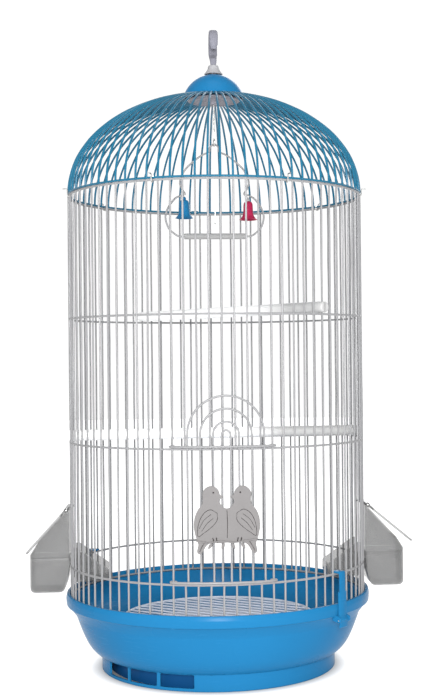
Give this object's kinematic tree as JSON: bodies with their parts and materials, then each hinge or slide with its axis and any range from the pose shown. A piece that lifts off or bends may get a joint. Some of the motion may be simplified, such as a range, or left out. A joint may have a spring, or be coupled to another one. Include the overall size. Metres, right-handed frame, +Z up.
{
  "type": "round domed wire bird cage",
  "caption": "Round wire bird cage with a domed top, a deep moulded tray, a sliding front door, hung side feeders with flaps, perches and a swing with bells.",
  "frame": {"origin": "on the ground, in the centre of the tray's foot", "axes": "+Z up along the cage's axis, -Y towards the door, +X to the right of someone who looks at the door"},
  "size_m": [0.4352, 0.34, 0.7164],
  "materials": {
    "blue_plastic": "gloss",
    "blue_painted_wire": "satin",
    "white_painted_wire": "satin",
    "white_plastic": "satin",
    "grey_plastic": "satin",
    "pink_plastic": "satin",
    "plain_steel": "satin",
    "clear_plastic": "gloss",
    "liner_paper": "matte"
  },
  "bodies": {
    "cage": {"tray": "blue_plastic", "floor_liner": "liner_paper", "floor_grille": "white_painted_wire", "cage_wall": "white_painted_wire", "dome_frame": "blue_painted_wire", "ring_crimp": "blue_painted_wire", "cap": "blue_plastic", "hub_disc": "grey_plastic", "hook_collar": "white_plastic", "dome_clip_1": "plain_steel", "dome_clip_2": "plain_steel", "dome_clip_3": "plain_steel", "dome_clip_4": "plain_steel", "dome_clip_5": "plain_steel", "dome_clip_6": "plain_steel", "dome_clip_7": "plain_steel", "latch_pin_right": "plain_steel", "latch_pin_left": "plain_steel", "upper_perch": "white_plastic", "lower_perch": "white_plastic", "swing_hook": "plain_steel", "feeder_cup_right": "clear_plastic", "feeder_cup_left": "clear_plastic", "feeder_hood_right": "clear_plastic", "feeder_hood_left": "clear_plastic", "feeder_pin_right": "plain_steel", "feeder_pin_left": "plain_steel"},
    "hook": {"hanging_hook": "white_plastic"},
    "front_door": {"door": "white_painted_wire", "door_plate": "white_plastic"},
    "swing": {"swing_frame": "plain_steel", "swing_perch": "grey_plastic"},
    "blue_bell": {"bell_blue": "blue_plastic"},
    "pink_bell": {"bell_pink": "pink_plastic"},
    "blue_clapper": {"clapper_blue": "plain_steel"},
    "pink_clapper": {"clapper_pink": "plain_steel"},
    "right_lid": {"feeder_lid_right": "clear_plastic"},
    "left_lid": {"feeder_lid_left": "clear_plastic"},
    "right_latch": {"latch_right": "blue_plastic"},
    "left_latch": {"latch_left": "blue_plastic"}
  },
  "joints": [
    {"name": "hook_swivel", "type": "hinge", "parent": "cage", "child": "hook", "pos_m": [0, 0, 0.68], "axis": [0, 0, 1], "continuous": true},
    {"name": "door_slide", "type": "slide", "parent": "cage", "child": "front_door", "axis": [0, 0, 1], "range_m": [0, 0.13]},
    {"name": "swing_hinge", "type": "hinge", "parent": "cage", "child": "swing", "pos_m": [0, 0, 0.58736], "axis": [1, 0, 0], "range_deg": [-40, 40]},
    {"name": "blue_bell_hinge", "type": "hinge", "parent": "swing", "child": "blue_bell", "pos_m": [-0.0372, 0, 0.5284], "axis": [1, 0, 0], "range_deg": [-45, 45]},
    {"name": "pink_bell_hinge", "type": "hinge", "parent": "swing", "child": "pink_bell", "pos_m": [0.0372, 0, 0.5284], "axis": [1, 0, 0], "range_deg": [-45, 45]},
    {"name": "blue_clapper_hinge", "type": "hinge", "parent": "blue_bell", "child": "blue_clapper", "pos_m": [-0.0372, 0, 0.52025], "axis": [1, 0, 0], "range_deg": [-10, 10]},
    {"name": "pink_clapper_hinge", "type": "hinge", "parent": "pink_bell", "child": "pink_clapper", "pos_m": [0.0372, 0, 0.52025], "axis": [1, 0, 0], "range_deg": [-10, 10]},
    {"name": "right_lid_hinge", "type": "hinge", "parent": "cage", "child": "right_lid", "pos_m": [0.16835, 0, 0.17735], "axis": [0, -1, 0], "range_deg": [0, 130]},
    {"name": "left_lid_hinge", "type": "hinge", "parent": "cage", "child": "left_lid", "pos_m": [-0.16835, 0, 0.17735], "axis": [0, 1, 0], "range_deg": [0, 130]},
    {"name": "right_latch_hinge", "type": "hinge", "parent": "cage", "child": "right_latch", "pos_m": [0.12667, -0.11709, 0.069], "axis": [0.6788, 0.7343, 0], "range_deg": [0, 60]},
    {"name": "left_latch_hinge", "type": "hinge", "parent": "cage", "child": "left_latch", "pos_m": [-0.15051, 0.08429, 0.069], "axis": [-0.4886, -0.8725, 0], "range_deg": [0, 60]}
  ]
}
